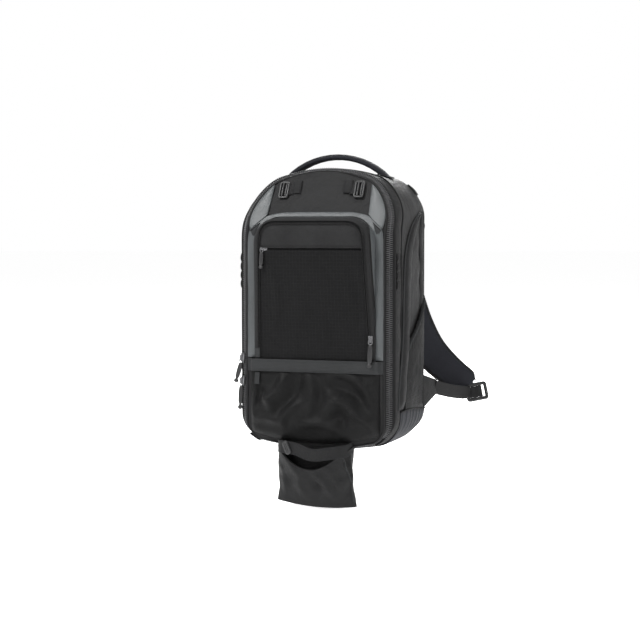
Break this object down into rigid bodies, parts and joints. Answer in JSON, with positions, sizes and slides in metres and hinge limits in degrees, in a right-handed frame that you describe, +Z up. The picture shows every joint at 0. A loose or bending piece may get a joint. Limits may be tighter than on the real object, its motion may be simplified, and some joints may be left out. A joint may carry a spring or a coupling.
{
  "type": "camera backpack",
  "caption": "Padded clamshell camera backpack with a front pocket, a foot pouch hanging under its front edge, a grab handle and two shoulder straps.",
  "frame": {"origin": "underside of the grab handle's apex, where a hook or a hand carries the bag", "axes": "+Z up, +Y towards the wearer's back panel, +X to the right seen from the front"},
  "size_m": [0.4672, 0.3823, 0.6259],
  "materials": {
    "band": "plain webbing",
    "body": "woven nylon",
    "boot": "coarse tough nylon",
    "coated": "smooth coated fabric",
    "metal": "nickel plate",
    "plastic": "satin moulded",
    "ripstop": "small square ripstop",
    "strap": "smooth stretch fabric over foam",
    "webbing": "woven webbing"
  },
  "bodies": {
    "root": {"accessory_buckle_left": "plastic", "accessory_buckle_right": "plastic", "accessory_tab_left": "webbing", "accessory_tab_right": "webbing", "arch_frame": "coated", "arch_pull": "plastic", "arch_slider": "metal", "back_pad": "strap", "base_tab_left": "webbing", "base_tab_right": "webbing", "body_shell": "body", "boot_panel": "boot", "bottle_pocket_left": "ripstop", "bottle_pocket_right": "ripstop", "cross_band": "band", "foot_pouch": "body", "front_lid": "body", "front_pocket": "ripstop", "grab_handle": "strap", "gusset_webbing_left": "webbing", "gusset_webbing_right": "webbing", "handle_anchor_left": "webbing", "handle_anchor_right": "webbing", "lower_pocket": "body", "main_pull_lower": "plastic", "main_pull_upper": "plastic", "main_slider_lower": "metal", "main_slider_upper": "metal", "main_zip": "plastic", "pocket_pull": "plastic", "pocket_slider": "metal", "pocket_zip": "plastic", "pouch_band": "webbing", "pouch_buckle": "plastic", "shoulder_strap_left": "strap", "shoulder_strap_right": "strap", "side_panel_left": "body", "side_panel_right": "body", "side_tab_left": "webbing", "side_tab_right": "webbing", "strap_buckle_left": "plastic", "strap_buckle_right": "plastic", "strap_webbing_left": "webbing", "strap_webbing_right": "webbing", "strap_wing_left": "body", "strap_wing_right": "body", "strap_yoke": "strap", "top_loop_left": "webbing", "top_loop_right": "webbing", "wing_left": "coated", "wing_right": "coated", "zip_tab_lower": "webbing", "zip_tab_upper": "webbing"}
  },
  "joints": []
}
